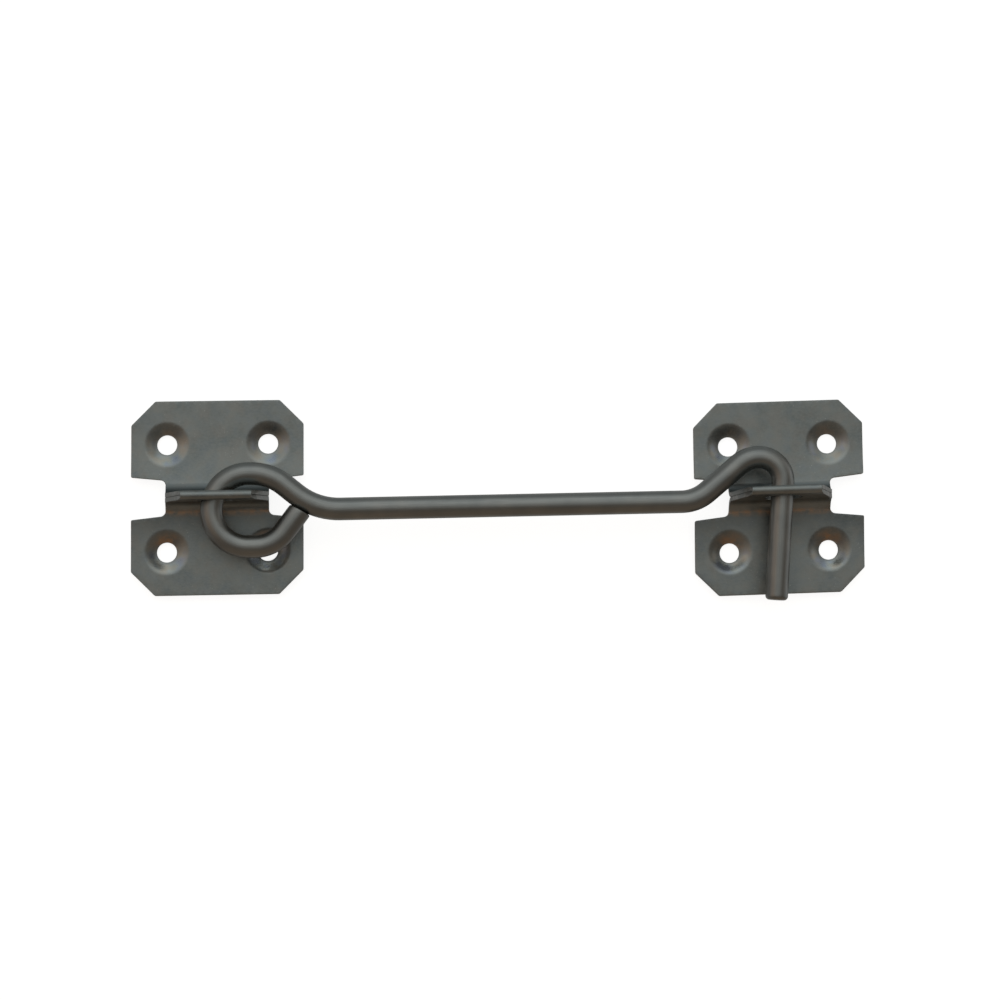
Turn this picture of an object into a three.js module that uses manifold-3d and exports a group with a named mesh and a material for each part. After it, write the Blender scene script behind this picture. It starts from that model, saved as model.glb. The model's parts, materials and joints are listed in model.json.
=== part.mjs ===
// A cabin hook: a wire hook whose bent eye is threaded through the tongue of a staple plate, and whose
// leg drops through the tongue of a keeper plate. Both plates are the same folded stamping.
//
// Millimetres. X runs from the staple to the keeper, Y is the way the hook lifts, and +Z stands out of
// the surface that the plates are screwed to. The origin is on the back of the staple plate, midway
// between the two screw holes of its upper leaf.

import * as THREE from 'three';
import { mergeVertices } from 'three/addons/utils/BufferGeometryUtils.js';
import Module from 'manifold-3d';

const wasm = await Module();
wasm.setup();

// Plate stamping
const sheet = 1.0; // thickness of the sheet
const plateWidth = 38;
const plateHeight = 43; // both leaves, edge to edge
const cornerCut = 5.3;
const neckWidth = 22.8; // between the two side notches
const notchMouth = 9.4; // height of a side notch at the plate's side
const notchRoot = 7.8; // and at the neck
const notchRound = 1.2;
const bendRadius = 2.7; // inside, where a leaf turns out into the tongue
const seamGap = 0.1; // between the two layers of the tongue
const tongueReach = 13.8; // from the plate's back to the fold at the tip
const tongueTipWidth = 15.2;
const tongueHoleRadius = 4.2;

// Pressed screw holes
const screwSpacingX = 22.3;
const screwSpacingY = 23.8;
const screwHoleRadius = 2.2;
const dimpleRadius = 4.9; // where the front starts to fall
const dimpleDepth = 1.35; // from the front face down to the hole's rim
const dimpleWall = 0.9; // thickness left at the hole's rim
const dimpleLipHeight = 0.35; // of the eased edge where the cone starts
const dimpleLipWidth = 0.7;
const bulgeSpread = 0.2; // how much wider the dimple is on the back
const bulgeRimWidth = 0.9; // flat ring round the hole on the back

// How the plates lie
const plateSpacing = 124.95; // staple centre to keeper centre
const stapleSkew = 0.9; // degrees that the top and bottom edges run out of square with the sides
const keeperSkew = 1.4;
const keeperTurn = 0.5; // degrees about Z
const keeperLean = 5; // degrees that the keeper's tongue leans towards +Y

// Wire hook: bends and straights in order from the cut end of the eye to the tip of the leg
const wireRadius = 2.5;
const wireHeight = 7.8; // wire axis above the plates' backs
const eyeX = 6.9; // centre of the eye's half round, from the staple's centre
const eyeY = -3.1;
const eyeRadius = 8.0;
const eyeTail = 5.6; // straight end that closes the eye
const eyeClosing = 53.4; // degrees that the closing bend turns
const cutSlant = 7; // degrees that the cut end is turned to face the shoulder
const eyeBottomFlat = 1.4;
const eyeTopFlat = 0.9;
const shoulderRadius = 11.2;
const shoulderTurn = 38.5;
const shoulderLength = 3.3;
const rodEntryRadius = 15;
const rodAngle = 1.2; // degrees that the rod rises towards the keeper
const rodLength = 75.3;
const crookEntryRadius = 9;
const crookRise = 40.5; // slope of the wire up to the crook
const crookSlopeLength = 9.3;
const crookTopRadius = 7.0;
const crookRadius = 5.3;
const legAngle = -93.7; // the leg hangs down and leans back towards the staple
const legLength = 26.0;

// Fineness of the round shapes
const bendSegments = 8;
const holeSides = 32;
const wireSides = 16;
const degreesPerSection = 11;
const longestSection = 13;
const overrun = 2; // how far a cutting solid runs past what it cuts

const stapleCentre = new THREE.Vector3(0, -screwSpacingY / 2, 0);
const degrees = THREE.MathUtils.degToRad;

/** The closed solid of a geometry, for joining and cutting. */
function solidOf(geometry) {
  geometry.deleteAttribute('normal');
  geometry.deleteAttribute('uv');
  const merged = mergeVertices(geometry, 1e-5);
  const corners = merged.index.array;
  const triangles = [];
  for (let i = 0; i < corners.length; i += 3) {
    const [a, b, c] = corners.subarray(i, i + 3);
    if (a !== b && b !== c && c !== a) triangles.push(a, b, c);
  }
  return new wasm.Manifold(new wasm.Mesh({
    numProp: 3,
    vertProperties: new Float32Array(merged.attributes.position.array),
    triVerts: new Uint32Array(triangles),
  }));
}

/** The three.js geometry of a solid. */
function geometryOf(solid) {
  const mesh = solid.getMesh();
  const geometry = new THREE.BufferGeometry();
  geometry.setAttribute('position', new THREE.BufferAttribute(mesh.vertProperties, 3));
  geometry.setIndex(new THREE.BufferAttribute(mesh.triVerts, 1));
  geometry.computeVertexNormals();
  return geometry;
}

/** A prism of an outline, centred on the plane it was drawn in, with its axes laid along the given ones. */
function prism(outline, length, across, up, along) {
  const settings = { depth: length, bevelEnabled: false, curveSegments: bendSegments };
  const geometry = new THREE.ExtrudeGeometry(outline, settings);
  geometry.translate(0, 0, -length / 2);
  geometry.applyMatrix4(new THREE.Matrix4().makeBasis(across, up, along));
  return solidOf(geometry);
}

const alongX = new THREE.Vector3(1, 0, 0);
const alongY = new THREE.Vector3(0, 1, 0);
const alongZ = new THREE.Vector3(0, 0, 1);
const againstY = new THREE.Vector3(0, -1, 0);

/** The sheet's edge seen from the side: a leaf, out along the tongue, back again, and the other leaf. */
function foldedSheet() {
  const half = sheet + seamGap / 2;
  const bendY = half + bendRadius;
  const bendZ = sheet + bendRadius;
  const foldZ = tongueReach - half;
  const edge = plateHeight / 2;
  const outline = new THREE.Shape();
  outline.moveTo(edge, 0);
  outline.lineTo(bendY, 0);
  outline.absarc(bendY, bendZ, bendZ, -Math.PI / 2, -Math.PI, true);
  outline.lineTo(seamGap / 2, foldZ);
  outline.lineTo(-seamGap / 2, foldZ);
  outline.lineTo(-seamGap / 2, bendZ);
  outline.absarc(-bendY, bendZ, bendZ, 0, -Math.PI / 2, true);
  outline.lineTo(-edge, 0);
  outline.lineTo(-edge, sheet);
  outline.lineTo(-bendY, sheet);
  outline.absarc(-bendY, bendZ, bendRadius, -Math.PI / 2, 0, false);
  outline.lineTo(-half, foldZ);
  outline.absarc(0, foldZ, half, Math.PI, 0, true);
  outline.lineTo(half, bendZ);
  outline.absarc(bendY, bendZ, bendRadius, Math.PI, 1.5 * Math.PI, false);
  outline.lineTo(edge, sheet);
  return prism(outline, plateWidth + overrun, alongY, alongZ, alongX);
}

/** The plate seen from the front: cut corners, and a notch in each side. */
function plateOutline() {
  const side = plateWidth / 2;
  const end = plateHeight / 2;
  const mouth = notchMouth / 2;
  const slant = Math.atan2((notchMouth - notchRoot) / 2, (plateWidth - neckWidth) / 2);
  const roundX = neckWidth / 2 + notchRound;
  const roundY = notchRoot / 2 + notchRound * (Math.tan(slant) - 1 / Math.cos(slant));
  const quarter = Math.PI / 2;
  const outline = new THREE.Shape();
  // Each half runs from the middle of one notch, round the leaf's cut corners, to the middle of the other.
  for (const [way, facing] of [[1, 0], [-1, Math.PI]]) {
    const right = [way * roundX, way * roundY, notchRound];
    const left = [-way * roundX, way * roundY, notchRound];
    outline.absarc(...right, facing + 2 * quarter, facing + quarter + slant, true);
    outline.lineTo(way * side, way * mouth);
    outline.lineTo(way * side, way * (end - cornerCut));
    outline.lineTo(way * (side - cornerCut), way * end);
    outline.lineTo(-way * (side - cornerCut), way * end);
    outline.lineTo(-way * side, way * (end - cornerCut));
    outline.lineTo(-way * side, way * mouth);
    outline.absarc(...left, facing + quarter - slant, facing, true);
  }
  return prism(outline, 2 * (tongueReach + overrun), alongX, alongY, alongZ);
}

/** Everything under the tongue's two slanting edges. */
function tongueTaper() {
  const side = plateWidth / 2 + overrun;
  const neck = neckWidth / 2;
  const tip = tongueTipWidth / 2;
  const start = sheet + bendRadius;
  const outline = new THREE.Shape();
  outline.moveTo(-side, -overrun);
  outline.lineTo(side, -overrun);
  outline.lineTo(side, start);
  outline.lineTo(neck, start);
  outline.lineTo(tip, tongueReach);
  outline.lineTo(-tip, tongueReach);
  outline.lineTo(-neck, start);
  outline.lineTo(-side, start);
  return prism(outline, plateHeight + overrun, alongX, alongZ, againstY);
}

/** The hole that the wire passes through, along Y. */
function tongueHole() {
  const length = 2 * sheet + seamGap + overrun;
  const hole = new THREE.CylinderGeometry(tongueHoleRadius, tongueHoleRadius, length, holeSides);
  hole.translate(0, 0, wireHeight);
  return solidOf(hole);
}

/** A round solid about Z from its half profile, which runs from the axis back to the axis. */
function turned(profile, x, y) {
  const points = profile.map(([radius, height]) => new THREE.Vector2(radius, height));
  const geometry = new THREE.LatheGeometry(points, holeSides);
  geometry.rotateX(Math.PI / 2);
  geometry.translate(x, y, 0);
  return solidOf(geometry);
}

/** The back of a pressed screw hole: the sheet pushed out behind the plate. */
function dimpleBulge(x, y) {
  const rim = sheet - dimpleDepth - dimpleWall;
  const foot = dimpleRadius + bulgeSpread;
  return turned([
    [0, rim],
    [screwHoleRadius + bulgeRimWidth, rim],
    [foot - dimpleLipWidth, -dimpleLipHeight],
    [foot, 0],
    [foot, sheet / 2],
    [0, sheet / 2],
  ], x, y);
}

/** The front of a pressed screw hole: the cone that the screw's head sits in, and the hole itself. */
function dimpleCavity(x, y) {
  const below = -dimpleDepth - overrun;
  return turned([
    [0, below],
    [screwHoleRadius, below],
    [screwHoleRadius, sheet - dimpleDepth],
    [dimpleRadius - dimpleLipWidth, sheet - dimpleLipHeight],
    [dimpleRadius, sheet],
    [dimpleRadius, sheet + overrun],
    [0, sheet + overrun],
  ], x, y);
}

/** One stamping, centred on the middle of its back, standing on z = 0. */
function plateSolid() {
  let plate = foldedSheet().intersect(plateOutline()).intersect(tongueTaper());
  plate = plate.subtract(tongueHole());
  for (const x of [-screwSpacingX / 2, screwSpacingX / 2]) {
    for (const y of [-screwSpacingY / 2, screwSpacingY / 2]) {
      plate = plate.add(dimpleBulge(x, y)).subtract(dimpleCavity(x, y));
    }
  }
  return plate;
}

/** A curve whose equal steps are given sections, so that straights take few and bends take many. */
class SectionedPath extends THREE.Curve {
  constructor(sections) {
    super();
    this.sections = sections;
  }

  nearest(t) {
    return this.sections[Math.round(t * (this.sections.length - 1))];
  }

  getPointAt(t, target = new THREE.Vector3()) {
    return target.copy(this.nearest(t).point);
  }

  getTangentAt(t, target = new THREE.Vector3()) {
    const heading = this.nearest(t).heading;
    return target.set(Math.cos(heading), Math.sin(heading), 0);
  }
}

/** Walks a wire in its own plane through straights { length } and bends { radius, turn }, left positive. */
function walkWire(start, startHeading, runs) {
  let heading = degrees(startHeading);
  const point = start.clone();
  const sections = [{ point: point.clone(), heading }];
  for (const run of runs) {
    const turn = degrees(run.turn ?? 0);
    const length = run.length ?? run.radius * Math.abs(turn);
    const steps = Math.ceil(Math.max(Math.abs(run.turn ?? 0) / degreesPerSection, length / longestSection));
    const chord = turn ? 2 * run.radius * Math.sin(Math.abs(turn) / steps / 2) : length / steps;
    for (let i = 0; i < steps; i++) {
      const middle = heading + turn / steps / 2;
      point.x += chord * Math.cos(middle);
      point.y += chord * Math.sin(middle);
      heading += turn / steps;
      sections.push({ point: point.clone(), heading });
    }
  }
  return sections;
}

/** The hook's bends, starting at the cut end of the eye. */
function hookSections() {
  const startHeading = 180 + eyeClosing;
  const closing = degrees(eyeClosing);
  const start = new THREE.Vector3(
    eyeX + eyeBottomFlat + eyeRadius * Math.sin(closing) + eyeTail * Math.cos(closing),
    eyeY - eyeRadius * Math.cos(closing) + eyeTail * Math.sin(closing),
    wireHeight,
  );
  const sections = walkWire(start, startHeading, [
    { length: eyeTail },
    { radius: eyeRadius, turn: -eyeClosing },
    { length: eyeBottomFlat },
    { radius: eyeRadius, turn: -180 },
    { length: eyeTopFlat },
    { radius: shoulderRadius, turn: -shoulderTurn },
    { length: shoulderLength },
    { radius: rodEntryRadius, turn: shoulderTurn + rodAngle },
    { length: rodLength },
    { radius: crookEntryRadius, turn: crookRise - rodAngle },
    { length: crookSlopeLength },
    { radius: crookTopRadius, turn: -crookRise },
    { radius: crookRadius, turn: legAngle },
    { length: legLength },
  ]);
  sections[0].heading += degrees(cutSlant);
  return sections;
}

function hookGeometry() {
  const ring = [];
  for (let i = 0; i < wireSides; i++) {
    const angle = (2 * Math.PI * i) / wireSides;
    ring.push(new THREE.Vector2(wireRadius * Math.cos(angle), wireRadius * Math.sin(angle)));
  }
  const sections = hookSections();
  return new THREE.ExtrudeGeometry(new THREE.Shape(ring), {
    steps: sections.length - 1,
    extrudePath: new SectionedPath(sections),
  });
}

/** Zinc plating: dull grey, a little lighter on the drawn wire than on the stamped sheet. */
function zinc(colour, roughness) {
  return new THREE.MeshStandardMaterial({ color: colour, roughness, metalness: 1 });
}

/** One plate, x from the staple's centre, with its edges out of square and its tongue leaning. */
function makePlate(name, x, turn, skew, lean) {
  const geometry = geometryOf(plateSolid());
  const bentOver = Math.tan(degrees(lean));
  const outOfSquare = Math.tan(degrees(skew));
  geometry.applyMatrix4(new THREE.Matrix4().makeShear(outOfSquare, 0, 0, 0, 0, bentOver));
  const plate = new THREE.Mesh(geometry, zinc(0x8d9493, 0.45));
  plate.name = name;
  plate.position.copy(stapleCentre).setX(x);
  plate.rotation.z = degrees(turn);
  return plate;
}

function makeHook() {
  const hook = new THREE.Mesh(hookGeometry(), zinc(0x9a9d9a, 0.4));
  hook.name = 'hook';
  hook.position.copy(stapleCentre);
  return hook;
}

const group = new THREE.Group();
group.add(makePlate('staple_plate', 0, 0, stapleSkew, 0));
group.add(makeHook());
group.add(makePlate('keeper_plate', plateSpacing, keeperTurn, keeperSkew, keeperLean));

export default group;
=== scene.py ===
"""A zinc plated cabin hook: a bent wire hook and two folded eye plates, on a pale floor in soft light."""

import json
import math

import bmesh
import bpy
from mathutils import Matrix, Vector
from mathutils.geometry import delaunay_2d_cdt


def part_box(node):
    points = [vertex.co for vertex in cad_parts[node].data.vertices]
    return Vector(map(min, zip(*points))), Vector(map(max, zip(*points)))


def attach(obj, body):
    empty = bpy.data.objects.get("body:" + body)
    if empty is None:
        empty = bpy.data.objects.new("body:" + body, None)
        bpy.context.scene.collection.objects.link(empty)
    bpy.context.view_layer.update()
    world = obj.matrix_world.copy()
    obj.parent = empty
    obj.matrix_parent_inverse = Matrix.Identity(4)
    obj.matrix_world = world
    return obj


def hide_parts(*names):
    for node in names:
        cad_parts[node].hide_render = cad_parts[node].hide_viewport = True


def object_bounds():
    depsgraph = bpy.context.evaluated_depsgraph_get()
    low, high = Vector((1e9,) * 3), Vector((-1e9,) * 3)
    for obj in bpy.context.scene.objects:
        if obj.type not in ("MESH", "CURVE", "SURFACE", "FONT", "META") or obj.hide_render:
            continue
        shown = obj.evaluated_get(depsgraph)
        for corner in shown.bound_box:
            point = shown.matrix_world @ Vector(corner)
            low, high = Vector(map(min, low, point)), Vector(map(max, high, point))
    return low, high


# All sizes are in millimetres, and become metres when a mesh, light or camera is made. Colours are linear.
MM = 0.001

# Plate stamping
SHEET = 1.0
PLATE_WIDTH = 38.0
PLATE_HEIGHT = 43.0
CORNER_CUT = 5.3
NECK_WIDTH = 22.8
NOTCH_MOUTH = 9.4  # height of a side notch at the plate's side
NOTCH_ROOT = 7.8  # and at the neck
BEND_RADIUS = 2.7
SEAM_GAP = 0.03
TONGUE_REACH = 13.8
TONGUE_TIP_WIDTH = 15.2
TONGUE_HOLE_RADIUS = 4.2
SCREW_SPACING_X = 22.3
SCREW_SPACING_Y = 23.8
SCREW_HOLE_RADIUS = 2.2
DIMPLE_RADIUS = 5.15
DIMPLE_RIM_SHAPE = 1.55  # a higher power makes the dimple's wall rounder at the hole
DIMPLE_FOOT_SHAPE = 1.9  # and at its foot
DIMPLE_DEPTH = 1.35  # of the front, at the hole's rim
BULGE_DEPTH = 1.25  # of the back, at the hole's rim
EDGE_ROUND = 0.11  # left by the punch on every cut edge
BOW_ANGLE = math.radians(7.0)  # how far each leaf still slopes where the bend ends
BOW_LENGTH = 10.5  # over which the slope dies out
STAPLE_SKEW = 0.9  # degrees that the level edges run out of square with the sides
KEEPER_SKEW = 1.4
KEEPER_TURN = 0.5  # degrees that the keeper is turned on the wall
KEEPER_LEAN = 5.0  # degrees that its tongue leans up

# Painted shade in and under the bends, and painted warm reflections
SHADE_UNDER_BEND = 0.55
SHADE_REACH = 9.0  # how far down the lower leaf it dies out
WARM_REFLECTION_ON_BEND = 0.75
WARM_REFLECTION_RISE = 0.3  # how far up the bend from its foot the line of painted warm reflection is
WARM_REFLECTION_SPREAD = 0.55
WARM_REFLECTION_IN_UPPER_HOLES = 0.3
WARM_REFLECTION_IN_LOWER_HOLES = 1.1

# Corner rounds of the stamping's outline
OUTER_ROUND = 0.7
NOTCH_OUTER_ROUND = 0.35
NOTCH_INNER_ROUND = 1.2
NECK_ROUND = 1.2
TIP_ROUND = 1.0

# Wire hook: turns, angles and the slant of the cut end are in degrees
WIRE_RADIUS = 2.5
EYE_RADIUS = 8.0
EYE_TAIL = 5.95
EYE_CLOSING = 53.4
EYE_TURN = 180
CUT_SLANT = 7.0
EYE_BOTTOM_FLAT = 1.4
EYE_TOP_FLAT = 0.9
SHOULDER_RADIUS = 11.2
SHOULDER_TURN = 38.5
SHOULDER_LENGTH = 3.3
ROD_ENTRY_RADIUS = 15.0
ROD_ANGLE = 1.2
ROD_LENGTH = 75.3
CROOK_ENTRY_RADIUS = 9.0
CROOK_RISE = 40.5
CROOK_SLOPE_LENGTH = 9.3
CROOK_TOP_RADIUS = 7.0
CROOK_RADIUS = 5.3
LEG_ANGLE = -93.7
LEG_LENGTH = 26.0
CUT_END_ROUND = 0.35
LEG_TIP_ROUND = 0.9

# Patterns in the zinc: repeats in a metre
SHEET_CLOUDS = 150
SHEET_TINTS = 380
SHEET_GRAIN = (1500, 2600, 2600)
SPECKS = 1500
SPECK_GROUPS = 330
HIGHLIGHT_CLOUDS = 300
WARM_REFLECTION_CLOUDS = 600
WEAR_AND_HIGHLIGHT_CLOUDS = 700
WIRE_CLOUDS = 190
WIRE_GRAIN = 4200
WIRE_LINES = (5.0, 5.0, 0.12)  # repeats in a millimetre, across and along the wire

# Colours of the zinc
SHEET_DARK = (0.205, 0.232, 0.230)
SHEET_MIDDLE = (0.288, 0.312, 0.304)
SHEET_LIGHT = (0.370, 0.396, 0.382)
SHEET_BLUE = (0.265, 0.300, 0.325)
SHEET_PLAIN = (0.290, 0.310, 0.300)
SHEET_WARM = (0.325, 0.303, 0.275)
# Painted highlights for the dimples' lower walls
HIGHLIGHT_BLUE = (0.50, 0.56, 0.66)
HIGHLIGHT_PLAIN = (0.58, 0.62, 0.60)
HIGHLIGHT_WARM = (0.66, 0.62, 0.54)
GRAIN_LIGHT = (0.42, 0.44, 0.43, 1)
SPECK_LIGHT = (0.55, 0.57, 0.55, 1)
# Painted shade for the upper bend's crease and for the lower leaf under its bend
PAINTED_SHADE_ZINC = (0.10, 0.117, 0.122, 1)
# Painted warm reflection: orange glints from a warm light below
PAINTED_WARM_REFLECTION = (0.58, 0.36, 0.21, 1)
# Worn steel on the cut edges, partly a painted edge highlight
WORN_STEEL_AND_EDGE_HIGHLIGHT = (0.50, 0.51, 0.50, 1)
WIRE_DARK = (0.285, 0.298, 0.292)
WIRE_MIDDLE = (0.330, 0.338, 0.325)
WIRE_LIGHT = (0.365, 0.365, 0.345)
WIRE_LINE_DARK = (0.26, 0.265, 0.26, 1)

# How much each shows, from 0 to 1
TINT_SHARE = 0.4
GRAIN_SHARE = 0.35
SPECK_SHARE = 0.6
PAINTED_SHADE_SHARE = 0.85
WARM_REFLECTION_THINNEST = 0.25
WEAR_AND_HIGHLIGHT_SHARE = 0.75
WIRE_LINE_SHARE = 0.3

# Roughness of the metal, and the depth of its grain
SHEET_SMOOTHEST = 0.34
SHEET_ROUGHEST = 0.48
WIRE_SMOOTHEST = 0.30
WIRE_ROUGHEST = 0.42
BURNISH_GLOSS = 0.10  # roughness taken off where burnished
SHEET_RELIEF = 0.016
WIRE_RELIEF = 0.012

# Camera and stage
CAMERA_LENS = 113.4
CAMERA_SENSOR = 36.0
CAMERA_DISTANCE = 700.0
CAMERA_LEFT = 3.3  # degrees from straight in front
CAMERA_BELOW = 3.1
VIEW_CENTRE = Vector((62.557, -12.389, 0.6))
FLOOR_SIZE = 4000.0
FLOOR_GREY = 0.6
FLOOR_GLOW = 0.865
SOFTBOX_DISTANCE = 500

# The room's own light, and its soft panels: the way to each, the angles from its middle where it starts
# to fade and has gone, and the light it adds
ROOM_COLOUR = (0.130, 0.112, 0.095, 1)
PANELS = (
    ((0.00, 0.53, 0.85), 8, 58, (0.34, 0.37, 0.375)),
    ((0.00, 1.00, -0.20), 20, 66, (0.10, 0.13, 0.145)),
    ((-0.76, 0.00, 0.65), 8, 36, (0.20, 0.135, 0.095)),
    ((-1.00, 0.00, -0.15), 15, 50, (0.07, 0.08, 0.09)),
    ((1.00, 0.05, -0.25), 6, 36, (0.25, 0.27, 0.285)),
    ((0.10, -1.00, 0.10), 10, 60, (0.07, 0.045, 0.025)),
    ((0.00, 0.00, -1.00), 35, 78, (0.17, 0.175, 0.18)),
)

# Distances along the middle of the sheet, from the fold at the tongue's tip to each change of shape
FOLD_MIDDLE_RADIUS = (SHEET + SEAM_GAP) / 2
BEND_MIDDLE_RADIUS = BEND_RADIUS + SHEET / 2
FOLD_HEIGHT = TONGUE_REACH - SHEET - SEAM_GAP / 2
BEND_ANGLE = math.pi / 2 - BOW_ANGLE
BEND_HEIGHT = SHEET / 2 + BOW_ANGLE * BOW_LENGTH / 2 + BEND_MIDDLE_RADIUS * math.cos(BOW_ANGLE)
BEND_OFFSET = SHEET + SEAM_GAP / 2 + BEND_RADIUS
FOLD_END = FOLD_MIDDLE_RADIUS * math.pi / 2
BEND_START = FOLD_END + FOLD_HEIGHT - BEND_HEIGHT
LEAF_START = BEND_START + BEND_MIDDLE_RADIUS * BEND_ANGLE
LEAF_OFFSET = BEND_OFFSET - BEND_MIDDLE_RADIUS * math.sin(BOW_ANGLE)
LEAF_END = LEAF_START + PLATE_HEIGHT / 2 - LEAF_OFFSET
NOTCH_ROOT_EDGE = LEAF_START + NOTCH_ROOT / 2 - LEAF_OFFSET
NOTCH_MOUTH_EDGE = LEAF_START + NOTCH_MOUTH / 2 - LEAF_OFFSET

# Fineness of the meshes
GRID_STEP = 1.0
INNER_BAND = 2.5 * EDGE_ROUND  # how far in from a cut edge the next points are
DIMPLE_MARGIN = 0.2  # how far outside a dimple its points begin
NEAREST_CROSSING = 0.05  # of an edge's length, from a crossing to the edge's end
SHARPEST_CORNER = 0.5  # least cosine of half a corner's turn
SAME = 1e-6  # points closer than this are one point
FOLD_STEPS = 6
BEND_STEPS = 16
RIM_STEPS = 4
HOLE_SIDES = 96
DIMPLE_RINGS = 16
CORNER_STEPS = 6
WIRE_SIDES = 56
DEGREES_PER_SECTION = 4.0
LONGEST_SECTION = 1.5
END_STEPS = 6
END_RINGS = (0.35, 0.7)  # shares of a flat end's radius


# ---------------------------------------------------------------- the folded plates


def wire_hole_centre(wire_height):
    """Distance from the fold to the middle of the hole that the wire passes through."""
    return FOLD_END + FOLD_HEIGHT - wire_height


def screw_holes():
    """The four screw holes' centres on the flat blank."""
    along = LEAF_START + SCREW_SPACING_Y / 2 - LEAF_OFFSET
    return [Vector((x * SCREW_SPACING_X / 2, s * along)) for x in (-1, 1) for s in (-1, 1)]


def rounded(corners):
    """A closed outline from (x, s, radius) corners, with each corner turned into an arc."""
    points = [Vector(corner[:2]) for corner in corners]
    outline = []
    for i, corner in enumerate(points):
        back = (points[i - 1] - corner).normalized()
        ahead = (points[(i + 1) % len(points)] - corner).normalized()
        half = back.angle(ahead) / 2
        radius = corners[i][2]
        centre = corner + (back + ahead).normalized() * radius / math.sin(half)
        start = (corner + back * radius / math.tan(half) - centre).normalized()
        end = (corner + ahead * radius / math.tan(half) - centre).normalized()
        shares = [k / CORNER_STEPS for k in range(CORNER_STEPS + 1)]
        outline.extend(centre + radius * start.slerp(end, share) for share in shares)
    return outline


def blank_outline():
    """The flat blank's outline, anticlockwise. x runs across the sheet, s along it from the fold."""
    side = PLATE_WIDTH / 2
    neck = NECK_WIDTH / 2
    quarter = [
        (TONGUE_TIP_WIDTH / 2, 0, TIP_ROUND),
        (neck, BEND_START, NECK_ROUND),
        (neck, NOTCH_ROOT_EDGE, NOTCH_INNER_ROUND),
        (side, NOTCH_MOUTH_EDGE, NOTCH_OUTER_ROUND),
        (side, LEAF_END - CORNER_CUT, OUTER_ROUND),
        (side - CORNER_CUT, LEAF_END, OUTER_ROUND),
    ]
    upper_right = quarter
    upper_left = [(-x, s, r) for x, s, r in reversed(quarter)]
    lower_left = [(-x, -s, r) for x, s, r in quarter[1:]]
    lower_right = [(x, -s, r) for x, s, r in reversed(quarter[1:])]
    return rounded(upper_right + upper_left + lower_left + lower_right)


def half_width(s):
    """Half the blank's width at s, without the corner rounds."""
    s = abs(s)
    if s < BEND_START:
        return (TONGUE_TIP_WIDTH + (NECK_WIDTH - TONGUE_TIP_WIDTH) * s / BEND_START) / 2
    if s < NOTCH_ROOT_EDGE:
        return NECK_WIDTH / 2
    if s < NOTCH_MOUTH_EDGE:
        share = (s - NOTCH_ROOT_EDGE) / (NOTCH_MOUTH_EDGE - NOTCH_ROOT_EDGE)
        return (NECK_WIDTH + (PLATE_WIDTH - NECK_WIDTH) * share) / 2
    return PLATE_WIDTH / 2 - max(0, s - LEAF_END + CORNER_CUT)


def steps_between(start, end, count):
    return [start + (end - start) * k / count for k in range(count)]


def grid_rows():
    """The s of each row of points: close together in the fold and the bends, wider on the flats."""
    tongue_steps = round((BEND_START - FOLD_END) / GRID_STEP)
    leaf_steps = round((LEAF_END - LEAF_START) / GRID_STEP)
    upper = [
        *steps_between(0, FOLD_END, FOLD_STEPS),
        *steps_between(FOLD_END, BEND_START, tongue_steps),
        *steps_between(BEND_START, LEAF_START, BEND_STEPS),
        *steps_between(LEAF_START, LEAF_END, leaf_steps),
    ]
    return [-s for s in reversed(upper[1:])] + upper


def grid_columns():
    count = round(PLATE_WIDTH / GRID_STEP)
    return steps_between(-PLATE_WIDTH / 2, PLATE_WIDTH / 2, count)[1:]


def with_crossings(loop, columns, rows):
    """The loop with points added where it crosses the grid's rows, or its columns along flatter edges."""
    result = []
    for a, b in zip(loop, loop[1:] + loop[:1]):
        axis, lines = (1, rows) if abs(b.y - a.y) > abs(b.x - a.x) else (0, columns)
        span = b[axis] - a[axis]
        shares = sorted((line - a[axis]) / span for line in lines) if abs(span) > SAME else []
        result.append(a)
        result.extend(a.lerp(b, s) for s in shares if NEAREST_CROSSING < s < 1 - NEAREST_CROSSING)
    return result


def outward_normals(loop):
    """Unit normals of an anticlockwise loop, lengthened at corners so that an inset keeps its width."""
    normals = []
    for before, here, after in zip(loop[-1:] + loop[:-1], loop, loop[1:] + loop[:1]):
        first = (here - before).normalized()
        second = (after - here).normalized()
        mean = (first + second).normalized()
        normals.append(Vector((mean.y, -mean.x)) / max(SHARPEST_CORNER, mean.dot(first)))
    return normals


def circle(centre, radius, sides):
    return [centre + radius * Vector((math.cos(a), math.sin(a)))
            for a in (2 * math.pi * k / sides for k in range(sides))]


def on_blank(x, s, margin):
    """Whether a grid point is on the blank, at least the margin from its outline."""
    return abs(x) < min(half_width(abs(s) + way * margin) for way in (-1, 0, 1)) - margin


def hole_loop(centre, radius):
    """The loop of (point, way out of the sheet) round a hole."""
    ring = circle(centre, radius + EDGE_ROUND, HOLE_SIDES)
    return [(p, (centre - p).normalized()) for p in ring]


def open_grid(columns, rows, kept_free):
    """The grid's points that are on the blank and outside the (centre, radius) circles kept free."""
    clear = GRID_STEP / 2
    points = []
    for s in rows:
        for x in columns:
            point = Vector((x, s))
            if on_blank(x, s, clear) and all((point - c).length > r + clear for c, r in kept_free):
                points.append(point)
    return points


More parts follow.
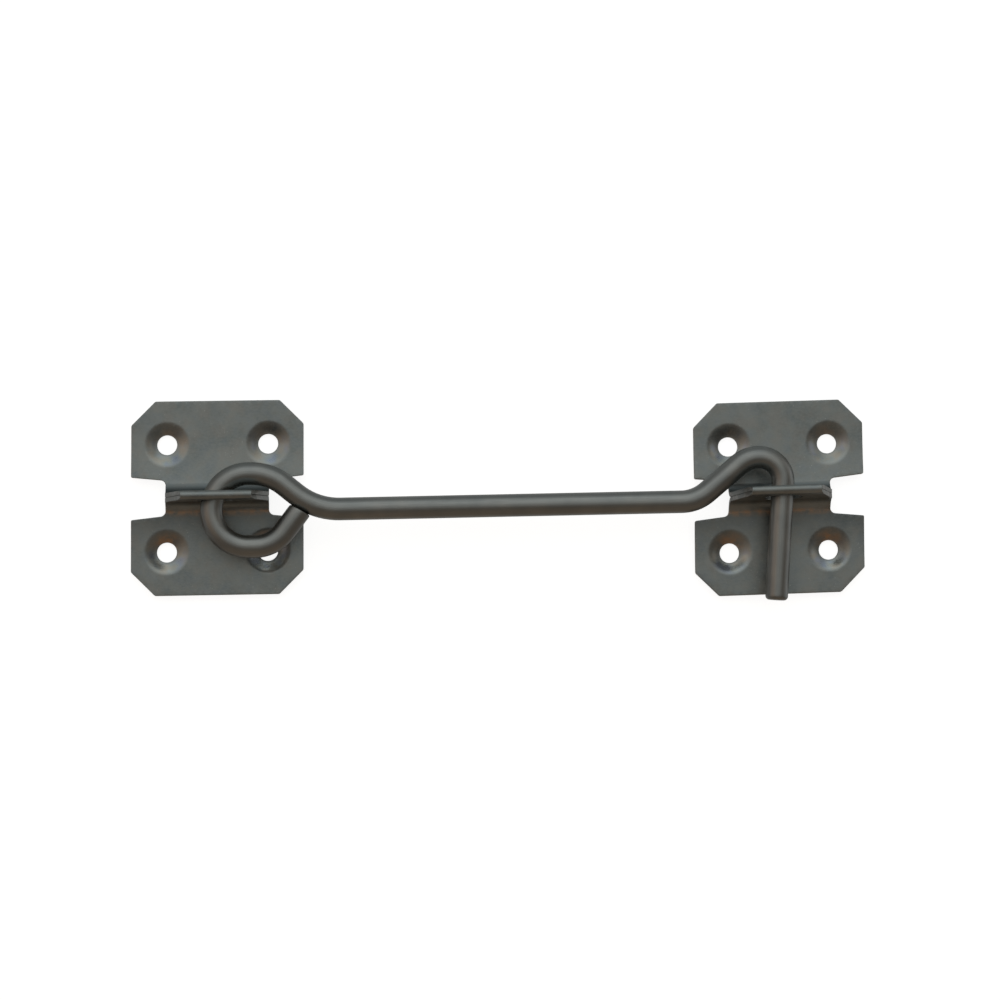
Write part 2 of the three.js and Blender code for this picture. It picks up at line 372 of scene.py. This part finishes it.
def blank_points(wire_height):
    """Loops of (point, way out of the sheet) for each cut edge, and the loose points between them."""
    columns, rows = grid_columns(), grid_rows()
    outline = with_crossings(blank_outline(), columns, rows)
    edge = list(zip(outline, outward_normals(outline)))
    loops = [[(p - EDGE_ROUND * way, way) for p, way in edge]]
    loose = [p - INNER_BAND * way for p, way in edge[::2]]

    wire_hole = wire_hole_centre(wire_height)
    wire_holes = [Vector((0, wire_hole)), Vector((0, -wire_hole))]
    for centre in wire_holes:
        loops.append(hole_loop(centre, TONGUE_HOLE_RADIUS))
        loose += circle(centre, TONGUE_HOLE_RADIUS + INNER_BAND, HOLE_SIDES)
    widest, narrowest = DIMPLE_RADIUS + DIMPLE_MARGIN, SCREW_HOLE_RADIUS + EDGE_ROUND
    for centre in screw_holes():
        loops.append(hole_loop(centre, SCREW_HOLE_RADIUS))
        for radius in steps_between(widest, narrowest, DIMPLE_RINGS):
            loose += circle(centre, radius, HOLE_SIDES)

    kept_free = [(c, TONGUE_HOLE_RADIUS) for c in wire_holes]
    kept_free += [(c, DIMPLE_RADIUS) for c in screw_holes()]
    return loops, loose + open_grid(columns, rows, kept_free)


def triangulated(loops, loose):
    """The blank's points, its triangles, and each loop as point numbers in order."""
    points = [p for loop in loops for p, _ in loop]
    edges, starts = [], []
    for loop in loops:
        first = starts[-1][1] if starts else 0
        starts.append((first, first + len(loop)))
        edges += [(first + k, first + (k + 1) % len(loop)) for k in range(len(loop))]
    flat, _, faces, sources, _, _ = delaunay_2d_cdt(points + loose, edges, [], 1, SAME)
    place = {source: k for k, group in enumerate(sources) for source in group}
    numbered = [[place[k] for k in range(first, last)] for first, last in starts]
    holes = [set(loop) for loop in numbered[1:]]
    kept = [face for face in faces if not any(set(face) <= hole for hole in holes)]
    return flat, kept, numbered


def pressed(x, y):
    """How far a point of a leaf is pressed down by its screw hole's dimple, from 0 to 1 at the rim."""
    away = math.hypot(abs(x) - SCREW_SPACING_X / 2, abs(y) - SCREW_SPACING_Y / 2)
    share = (away - SCREW_HOLE_RADIUS) / (DIMPLE_RADIUS - SCREW_HOLE_RADIUS)
    return (1 - min(1, max(0, share)) ** DIMPLE_RIM_SHAPE) ** DIMPLE_FOOT_SHAPE


def folded(x, s, depth):
    """Where a point of the flat blank ends up. Depth runs from 0 on the back to the sheet on the front."""
    side = math.copysign(1, s)
    s = abs(s)
    off_middle = depth - SHEET / 2
    if s < FOLD_END:
        angle = s / FOLD_MIDDLE_RADIUS
        radius = FOLD_MIDDLE_RADIUS + off_middle
        return Vector((x, side * radius * math.sin(angle), FOLD_HEIGHT + radius * math.cos(angle)))
    if s < BEND_START:
        return Vector((x, side * (FOLD_MIDDLE_RADIUS + off_middle), FOLD_HEIGHT + FOLD_END - s))
    if s < LEAF_START:
        angle = (s - BEND_START) / BEND_MIDDLE_RADIUS
        radius = BEND_MIDDLE_RADIUS - off_middle
        y = BEND_OFFSET - radius * math.cos(angle)
        return Vector((x, side * y, BEND_HEIGHT - radius * math.sin(angle)))
    y = LEAF_OFFSET + s - LEAF_START
    bow = BOW_ANGLE * BOW_LENGTH / 2 * max(0, 1 - (s - LEAF_START) / BOW_LENGTH) ** 2
    down = pressed(x, y) * (BULGE_DEPTH + (DIMPLE_DEPTH - BULGE_DEPTH) * depth / SHEET)
    return Vector((x, side * y, depth + bow - down))


def dimple_wall(x, s):
    """(share pressed down, upward share of the way from the hole) of a point of the flat blank."""
    if abs(s) < LEAF_START:
        return 0.0, 0.0
    y = LEAF_OFFSET + abs(s) - LEAF_START
    away = Vector((abs(x) - SCREW_SPACING_X / 2, y - SCREW_SPACING_Y / 2)).normalized()
    return pressed(x, y), math.copysign(away.y, away.y * s)


def burnish_and_highlight_share(x, s):
    """How much the punch has polished a point, and how much painted highlight it gets: most half way down a
    dimple's wall, on its lower side.
    """
    share, upward = dimple_wall(x, s)
    return 4 * share * (1 - share) * (1 - upward) / 2


def warm_reflection_share(x, s):
    """How much painted warm reflection a point gets: on the holes' upper walls, which face down, and along
    the lower bend's foot.
    """
    share, upward = dimple_wall(x, s)
    wall = share * max(0, upward) ** 2 * (WARM_REFLECTION_IN_UPPER_HOLES if s > 0 else WARM_REFLECTION_IN_LOWER_HOLES)
    above_foot = s + LEAF_START - WARM_REFLECTION_RISE
    return wall + WARM_REFLECTION_ON_BEND * math.exp(-(above_foot / WARM_REFLECTION_SPREAD) ** 2)


def bend_shade_share(s):
    """How much painted shade a point gets: across the upper bend's crease, and on the lower leaf under its
    bend.
    """
    if s > 0:
        share = (s - BEND_START) / (LEAF_START - BEND_START)
        return math.sqrt(math.sin(math.pi * min(1, max(0, share))))
    below = (-s - LEAF_START) / SHADE_REACH
    return SHADE_UNDER_BEND * (1 - below) ** 2 if 0 < below < 1 else 0.0


def rim_profile():
    """(how far out, how deep) of each point round a cut edge, between the front face and the back face."""
    quarter = [math.radians(90 * k / RIM_STEPS) for k in range(1, RIM_STEPS + 1)]
    front = [(EDGE_ROUND * math.sin(a), SHEET - EDGE_ROUND * (1 - math.cos(a))) for a in quarter]
    back = [(out, SHEET - depth) for out, depth in reversed(front)]
    return front + back


def plate_mesh(name, wire_height, placed):
    """One stamping: the front and back of the blank joined round every cut edge, then folded and placed."""
    loops, loose = blank_points(wire_height)
    flat, faces, numbered = triangulated(loops, loose)
    count = len(flat)
    places = [folded(x, s, SHEET) for x, s in flat] + [folded(x, s, 0) for x, s in flat]
    all_faces = [tuple(face) for face in faces]
    all_faces += [tuple(k + count for k in reversed(face)) for face in faces]
    warm_reflection = [warm_reflection_share(x, s) for x, s in flat] * 2
    burnish_and_highlight = [burnish_and_highlight_share(x, s) for x, s in flat] * 2
    painted_bend_shade = [bend_shade_share(s) for _, s in flat] * 2
    cut = [0.0] * len(places)
    for loop, numbers in zip(loops, numbered):
        previous = numbers
        for out, depth in rim_profile():
            ring = list(range(len(places), len(places) + len(loop)))
            places += [folded(*(p + out * way), depth) for p, way in loop]
            cut += [1.0] * len(loop)
            warm_reflection += [warm_reflection_share(*p) for p, _ in loop]
            burnish_and_highlight += [burnish_and_highlight_share(*p) for p, _ in loop]
            painted_bend_shade += [bend_shade_share(p.y) for p, _ in loop]
            all_faces += strip(previous, ring)
            previous = ring
        all_faces += strip(previous, [k + count for k in numbers])
    mesh = closed_mesh(name, [placed @ p for p in places], all_faces)
    for use, values in (("cut_edge", cut), ("warm_reflection", warm_reflection), ("burnish_and_highlight", burnish_and_highlight), ("painted_bend_shade", painted_bend_shade)):
        mesh.attributes.new(use, "FLOAT", "POINT").data.foreach_set("value", values)
    return mesh


def strip(one, other):
    """Faces between two closed rings with the same number of points."""
    after = one[1:] + one[:1]
    other_after = other[1:] + other[:1]
    return [(a, b, d, c) for a, b, c, d in zip(one, after, other, other_after)]


def closed_mesh(name, places, faces):
    """A smooth mesh in metres whose faces all point out."""
    mesh = bpy.data.meshes.new(name)
    mesh.from_pydata([p * MM for p in places], [], faces)
    shaped = bmesh.new()
    shaped.from_mesh(mesh)
    bmesh.ops.recalc_face_normals(shaped, faces=shaped.faces)
    shaped.to_mesh(mesh)
    shaped.free()
    mesh.shade_smooth()
    return mesh


# ---------------------------------------------------------------- the wire hook


def hook_sections(eye_centre):
    """(point, heading, length so far) along the wire, from the eye's cut end to the leg's tip."""
    runs = [
        (EYE_TAIL, 0),
        (EYE_RADIUS, -EYE_CLOSING),
        (EYE_BOTTOM_FLAT, 0),
        (EYE_RADIUS, -EYE_TURN),
        (EYE_TOP_FLAT, 0),
        (SHOULDER_RADIUS, -SHOULDER_TURN),
        (SHOULDER_LENGTH, 0),
        (ROD_ENTRY_RADIUS, SHOULDER_TURN + ROD_ANGLE),
        (ROD_LENGTH, 0),
        (CROOK_ENTRY_RADIUS, CROOK_RISE - ROD_ANGLE),
        (CROOK_SLOPE_LENGTH, 0),
        (CROOK_TOP_RADIUS, -CROOK_RISE),
        (CROOK_RADIUS, LEG_ANGLE),
        (LEG_LENGTH, 0),
    ]
    closing = math.radians(EYE_CLOSING)
    point = eye_centre + Vector((
        EYE_BOTTOM_FLAT + EYE_RADIUS * math.sin(closing) + EYE_TAIL * math.cos(closing),
        EYE_TAIL * math.sin(closing) - EYE_RADIUS * math.cos(closing),
        0,
    ))
    heading = math.pi + closing
    travelled = 0.0
    sections = [(point.copy(), heading, travelled)]
    for size, turn in runs:
        angle = math.radians(turn)
        length = size * abs(angle) if turn else size
        count = math.ceil(max(abs(turn) / DEGREES_PER_SECTION, length / LONGEST_SECTION))
        chord = 2 * size * math.sin(abs(angle) / count / 2) if turn else length / count
        for _ in range(count):
            middle = heading + angle / count / 2
            point += chord * Vector((math.cos(middle), math.sin(middle), 0))
            heading += angle / count
            travelled += length / count
            sections.append((point.copy(), heading, travelled))
    return sections


def rounded_end(size):
    """(share of the way back from the tip, radius) rings of an end whose edge is rounded by the size."""
    angles = [math.radians(90 * k / END_STEPS) for k in range(END_STEPS + 1)]
    edge = [(size * (1 - math.cos(a)), WIRE_RADIUS - size * (1 - math.sin(a))) for a in angles]
    flat = [(0.0, (WIRE_RADIUS - size) * share) for share in END_RINGS]
    return flat + edge


def hook_rings(sections):
    """(centre, heading, radius, length so far) of every ring, with the two ends rounded off."""
    first, last = sections[0], sections[-1]
    rings = []
    for back, radius in rounded_end(CUT_END_ROUND):
        ahead = Vector((math.cos(first[1]), math.sin(first[1]), 0))
        rings.append((first[0] + back * ahead, first[1] + math.radians(CUT_SLANT), radius, back))
    rings += [(p, heading, WIRE_RADIUS, travelled) for p, heading, travelled in sections[1:-1]]
    for back, radius in reversed(rounded_end(LEG_TIP_ROUND)):
        ahead = Vector((math.cos(last[1]), math.sin(last[1]), 0))
        rings.append((last[0] - back * ahead, last[1], radius, last[2] - back))
    return rings


def hook_mesh(name, eye_centre):
    """The wire as rings round its path, with a fan of triangles closing each end."""
    places, drawn, faces, previous = [], [], [], None
    for centre, heading, radius, travelled in hook_rings(hook_sections(eye_centre)):
        across = Vector((-math.sin(heading), math.cos(heading), 0))
        ring = list(range(len(places), len(places) + WIRE_SIDES))
        for k in range(WIRE_SIDES):
            angle = 2 * math.pi * k / WIRE_SIDES
            sideways, upright = radius * math.cos(angle), radius * math.sin(angle)
            places.append(centre + sideways * across + Vector((0, 0, upright)))
            drawn += [sideways, upright, travelled]
        faces += strip(previous, ring) if previous else []
        previous = ring
    for ring in (list(range(WIRE_SIDES)), previous):
        middle = sum((places[k] for k in ring), Vector()) / WIRE_SIDES
        drawn += [0, 0, drawn[3 * ring[0] + 2]]
        places.append(middle)
        faces += [(a, b, len(places) - 1) for a, b in zip(ring, ring[1:] + ring[:1])]
    mesh = closed_mesh(name, places, faces)
    mesh.attributes.new("drawn", "FLOAT_VECTOR", "POINT").data.foreach_set("vector", drawn)
    return mesh


# ---------------------------------------------------------------- zinc plating


class Tree:
    """Short ways to add nodes to a material or a world, and to join them."""

    def __init__(self, owner):
        owner.use_nodes = True
        self.nodes = owner.node_tree.nodes
        self.links = owner.node_tree.links
        self.nodes.clear()

    def add(self, kind, values=None, **settings):
        node = self.nodes.new("ShaderNode" + kind)
        for name, value in settings.items():
            setattr(node, name, value)
        for socket, value in (values or {}).items():
            if isinstance(value, bpy.types.NodeSocket):
                self.links.new(value, node.inputs[socket])
            else:
                node.inputs[socket].default_value = value
        return node

    def noise(self, vector, scale, detail=3.0, roughness=0.5):
        values = {"Vector": vector, "Scale": scale, "Detail": detail, "Roughness": roughness}
        return self.add("TexNoise", values).outputs["Fac"]

    def stretched(self, vector, x, y, z):
        return self.add("VectorMath", {0: vector, 1: (x, y, z)}, operation="MULTIPLY").outputs["Vector"]

    def ranged(self, value, low, high, to_low, to_high):
        values = {"Value": value, "From Min": low, "From Max": high, "To Min": to_low, "To Max": to_high}
        return self.add("MapRange", values).outputs["Result"]

    def maths(self, operation, a, b):
        return self.add("Math", {0: a, 1: b}, operation=operation).outputs["Value"]

    def painted(self, name):
        """A value that plate_mesh gave to each point of the mesh."""
        return self.add("Attribute", attribute_name=name).outputs["Fac"]

    def mixed(self, factor, a, b):
        return self.add("MixRGB", {"Fac": factor, "Color1": a, "Color2": b}).outputs["Color"]

    def ramp(self, value, stops):
        node = self.add("ValToRGB", {"Fac": value})
        elements = node.color_ramp.elements
        while len(elements) < len(stops):
            elements.new(1)
        for element, (position, colour) in zip(elements, stops):
            element.position = position
            element.color = (*colour, 1)
        return node.outputs["Color"]


def finished(tree, colour, roughness, height, bump_distance):
    """The metal shader that both zinc finishes end in."""
    bump = tree.add("Bump", {"Height": height, "Strength": 1.0, "Distance": bump_distance * MM})
    metal = tree.add("BsdfPrincipled", {
        "Base Color": colour,
        "Roughness": roughness,
        "Metallic": 1.0,
        "Normal": bump.outputs["Normal"],
    })
    tree.add("OutputMaterial", {"Surface": metal.outputs["BSDF"]})


def sheet_grain(tree, place):
    """Rolled and plated sheet's (clouds, grain, colour): cloudy passivation, a fine grain and specks."""
    clouds = tree.noise(place, SHEET_CLOUDS, detail=5.0, roughness=0.62)
    grain = tree.noise(tree.stretched(place, *SHEET_GRAIN), 1.0, detail=4.0, roughness=0.65)
    colour = tree.ramp(clouds, [(0.36, SHEET_DARK), (0.50, SHEET_MIDDLE), (0.64, SHEET_LIGHT)])
    tints = tree.noise(place, SHEET_TINTS)
    tinted = tree.ramp(tints, [(0.36, SHEET_BLUE), (0.50, SHEET_PLAIN), (0.64, SHEET_WARM)])
    colour = tree.mixed(TINT_SHARE, colour, tinted)
    colour = tree.mixed(tree.ranged(grain, 0.35, 0.65, 0.0, GRAIN_SHARE), colour, GRAIN_LIGHT)
    cells = tree.add("TexVoronoi", {"Vector": place, "Scale": SPECKS})
    speck = tree.ranged(cells.outputs["Distance"], 0.10, 0.22, 1.0, 0.0)
    groups = tree.noise(place, SPECK_GROUPS, detail=2.0)
    chosen = tree.ranged(groups, 0.54, 0.64, 0.0, SPECK_SHARE)
    return clouds, grain, tree.mixed(tree.maths("MULTIPLY", speck, chosen), colour, SPECK_LIGHT)


def sheet_wear_and_painted_light(tree, place, colour, burnish_and_highlight):
    """The colour with the mesh's painted highlights, painted shade, painted warm reflections and worn, lit
    edges over it.
    """
    # Painted highlight on the dimples' lower walls, which the punch also left glossier
    highlight_noise = tree.noise(place, HIGHLIGHT_CLOUDS, detail=2.0)
    painted_highlight = tree.ramp(highlight_noise, [(0.38, HIGHLIGHT_BLUE), (0.50, HIGHLIGHT_PLAIN), (0.62, HIGHLIGHT_WARM)])
    colour = tree.mixed(burnish_and_highlight, colour, painted_highlight)
    # Painted shade across the upper bend and on the lower leaf under it
    colour = tree.mixed(tree.maths("MULTIPLY", tree.painted("painted_bend_shade"), PAINTED_SHADE_SHARE), colour, PAINTED_SHADE_ZINC)
    # Painted warm reflection on the holes' upper walls and at the lower bend's foot
    thin = tree.ranged(tree.noise(place, WARM_REFLECTION_CLOUDS), 0.38, 0.60, WARM_REFLECTION_THINNEST, 1.0)
    colour = tree.mixed(tree.maths("MULTIPLY", tree.painted("warm_reflection"), thin), colour, PAINTED_WARM_REFLECTION)
    # Cut edges lighter in patches: partly worn steel, partly painted edge highlight
    worn_and_lit = tree.ranged(tree.noise(place, WEAR_AND_HIGHLIGHT_CLOUDS), 0.50, 0.66, 0.0, WEAR_AND_HIGHLIGHT_SHARE)
    return tree.mixed(tree.maths("MULTIPLY", tree.painted("cut_edge"), worn_and_lit), colour, WORN_STEEL_AND_EDGE_HIGHLIGHT)


def sheet_zinc():
    """Zinc on the folded plates: glossier where burnished, with the grain standing out elsewhere."""
    material = bpy.data.materials.new("zinc_sheet")
    tree = Tree(material)
    place = tree.add("TexCoord").outputs["Object"]
    burnish_and_highlight = tree.painted("burnish_and_highlight")
    clouds, grain, colour = sheet_grain(tree, place)
    colour = sheet_wear_and_painted_light(tree, place, colour, burnish_and_highlight)
    mottle = tree.maths("ADD", clouds, tree.maths("MULTIPLY", grain, 0.6))
    roughness = tree.ranged(mottle, 0.6, 1.0, SHEET_SMOOTHEST, SHEET_ROUGHEST)
    roughness = tree.maths("SUBTRACT", roughness, tree.maths("MULTIPLY", burnish_and_highlight, BURNISH_GLOSS))
    height = tree.maths("MULTIPLY", grain, tree.maths("SUBTRACT", 1.0, burnish_and_highlight))
    finished(tree, colour, roughness, height, SHEET_RELIEF)
    return material


def wire_zinc():
    """Drawn and plated wire: long fine lines along it, and soft lighter and darker stretches."""
    material = bpy.data.materials.new("zinc_wire")
    tree = Tree(material)
    drawn = tree.add("Attribute", attribute_name="drawn").outputs["Vector"]
    place = tree.add("TexCoord").outputs["Object"]
    lines = tree.noise(tree.stretched(drawn, *WIRE_LINES), 1.0, detail=4.0, roughness=0.6)
    clouds = tree.noise(place, WIRE_CLOUDS)
    grain = tree.noise(place, WIRE_GRAIN)
    colour = tree.ramp(clouds, [(0.30, WIRE_DARK), (0.55, WIRE_MIDDLE), (0.72, WIRE_LIGHT)])
    colour = tree.mixed(tree.ranged(lines, 0.35, 0.65, 0.0, WIRE_LINE_SHARE), colour, WIRE_LINE_DARK)
    mottle = tree.maths("ADD", lines, tree.maths("MULTIPLY", grain, 0.5))
    roughness = tree.ranged(mottle, 0.55, 0.95, WIRE_SMOOTHEST, WIRE_ROUGHEST)
    height = tree.maths("ADD", tree.maths("MULTIPLY", lines, 0.8), grain)
    finished(tree, colour, roughness, height, WIRE_RELIEF)
    return material


# ---------------------------------------------------------------- stage, light and camera


def make_floor(height):
    """A pale floor that glows evenly, as a light table does. The metal doesn't mirror it."""
    half = FLOOR_SIZE / 2
    mesh = bpy.data.meshes.new("floor")
    corners = [(x * half, y * half, 0) for x, y in ((-1, -1), (1, -1), (1, 1), (-1, 1))]
    mesh.from_pydata([Vector(corner) * MM for corner in corners], [], [(0, 1, 2, 3)])
    floor = bpy.data.objects.new("floor", mesh)
    floor.location = (VIEW_CENTRE.x * MM, VIEW_CENTRE.y * MM, height)
    bpy.context.scene.collection.objects.link(floor)
    floor.visible_glossy = False
    material = bpy.data.materials.new("pale_floor")
    tree = Tree(material)
    surface = tree.add("BsdfPrincipled", {
        "Base Color": (FLOOR_GREY, FLOOR_GREY, FLOOR_GREY, 1),
        "Roughness": 1.0,
        "Specular IOR Level": 0.0,
        "Emission Color": (1, 1, 1, 1),
        "Emission Strength": FLOOR_GLOW,
    })
    tree.add("OutputMaterial", {"Surface": surface.outputs["BSDF"]})
    mesh.materials.append(material)


def make_light(name, direction, size, power, colour):
    """A square softbox that faces the middle of the object."""
    light = bpy.data.lights.new(name, "AREA")
    light.shape = "SQUARE"
    light.size = size * MM
    light.energy = power
    light.color = colour
    lamp = bpy.data.objects.new(name, light)
    way = Vector(direction).normalized()
    lamp.location = (VIEW_CENTRE + way * SOFTBOX_DISTANCE) * MM
    lamp.rotation_euler = way.to_track_quat("Z", "Y").to_euler()
    bpy.context.scene.collection.objects.link(lamp)


def make_world():
    """The studio round the object: a dim warm room, with broad soft panels that the metal mirrors."""
    world = bpy.data.worlds.new("studio")
    bpy.context.scene.world = world
    tree = Tree(world)
    direction = tree.add("TexCoord").outputs["Generated"]
    room = ROOM_COLOUR
    for way, core, edge, colour in PANELS:
        middle = Vector(way).normalized()
        towards = tree.add("VectorMath", {0: direction, 1: middle}, operation="DOT_PRODUCT")
        glow = tree.add("MapRange", {
            "Value": towards.outputs["Value"],
            "From Min": math.cos(math.radians(edge)),
            "From Max": math.cos(math.radians(core)),
        }, interpolation_type="SMOOTHSTEP").outputs["Result"]
        lit = tree.add("MixRGB", {"Fac": glow, "Color1": room, "Color2": (*colour, 1)}, blend_type="ADD")
        room = lit.outputs["Color"]
    background = tree.add("Background", {"Color": room, "Strength": 1.0})
    tree.add("OutputWorld", {"Surface": background.outputs["Background"]})


def make_camera():
    camera = bpy.data.cameras.new("camera")
    camera.lens = CAMERA_LENS
    camera.sensor_width = CAMERA_SENSOR
    view = bpy.data.objects.new("camera", camera)
    tilt = Matrix.Rotation(math.radians(CAMERA_BELOW), 4, "X")
    swing = Matrix.Rotation(math.radians(-CAMERA_LEFT), 4, "Y")
    back = Matrix.Translation((0, 0, CAMERA_DISTANCE * MM))
    view.matrix_world = Matrix.Translation(VIEW_CENTRE * MM) @ tilt @ swing @ back
    bpy.context.scene.collection.objects.link(view)
    bpy.context.scene.camera = view


# ---------------------------------------------------------------- the scene


def plate_place(node, centre_y, turn, skew, lean):
    """From the stamping's own frame, centred on its back, to where the plate lies."""
    low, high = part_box(node)
    centre_x = (low.x + high.x) / 2 / MM
    sheared = Matrix.Identity(4)
    sheared[1][0] = math.tan(math.radians(skew))
    sheared[1][2] = math.tan(math.radians(lean))
    turned = Matrix.Rotation(math.radians(turn), 4, "Z")
    return Matrix.Translation((centre_x, centre_y, 0)) @ turned @ sheared


def show(mesh, node, body, material):
    """Puts a finished mesh in place of a CAD node."""
    piece = bpy.data.objects.new(mesh.name, mesh)
    bpy.context.scene.collection.objects.link(piece)
    mesh.materials.append(material)
    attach(piece, body)
    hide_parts(node)


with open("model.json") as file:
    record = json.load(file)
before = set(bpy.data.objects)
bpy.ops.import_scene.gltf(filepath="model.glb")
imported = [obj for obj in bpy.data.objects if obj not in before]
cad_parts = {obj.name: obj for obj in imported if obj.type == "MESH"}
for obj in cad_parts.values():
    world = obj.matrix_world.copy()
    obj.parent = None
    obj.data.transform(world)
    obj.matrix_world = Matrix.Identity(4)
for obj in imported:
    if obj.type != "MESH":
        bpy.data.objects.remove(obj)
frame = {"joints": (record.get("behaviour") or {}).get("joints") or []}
cad_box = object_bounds()
hinge = next(joint for joint in frame["joints"] if joint["name"] == "hook_lift")
eye_centre = Vector(hinge["pos_m"]) / MM

staple_low, staple_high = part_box("staple_plate")
plates_y = (staple_low.y + staple_high.y) / 2 / MM

make_camera()
make_world()
make_floor(cad_box[0][2])
make_light("right_softbox", (1.0, 0.35, 0.20), size=320, power=0.07, colour=(1.0, 0.99, 0.97))
make_light("left_softbox", (-1.0, 0.5, 0.6), size=320, power=0.06, colour=(0.95, 0.98, 1.0))
make_light("top_softbox", (0.0, 1.0, 1.2), size=420, power=0.12, colour=(0.94, 0.98, 1.0))

zinc_on_sheet = sheet_zinc()
zinc_on_wire = wire_zinc()
for node, body, turn, skew, lean in (
    ("staple_plate", "staple", 0, STAPLE_SKEW, 0),
    ("keeper_plate", "keeper", KEEPER_TURN, KEEPER_SKEW, KEEPER_LEAN),
):
    placed = plate_place(node, plates_y, turn, skew, lean)
    mesh = plate_mesh("folded_" + node, eye_centre.z, placed)
    show(mesh, node, body, zinc_on_sheet)
show(hook_mesh("bent_wire_hook", eye_centre), "hook", "hook", zinc_on_wire)

bpy.context.scene.view_settings.view_transform = "Standard"
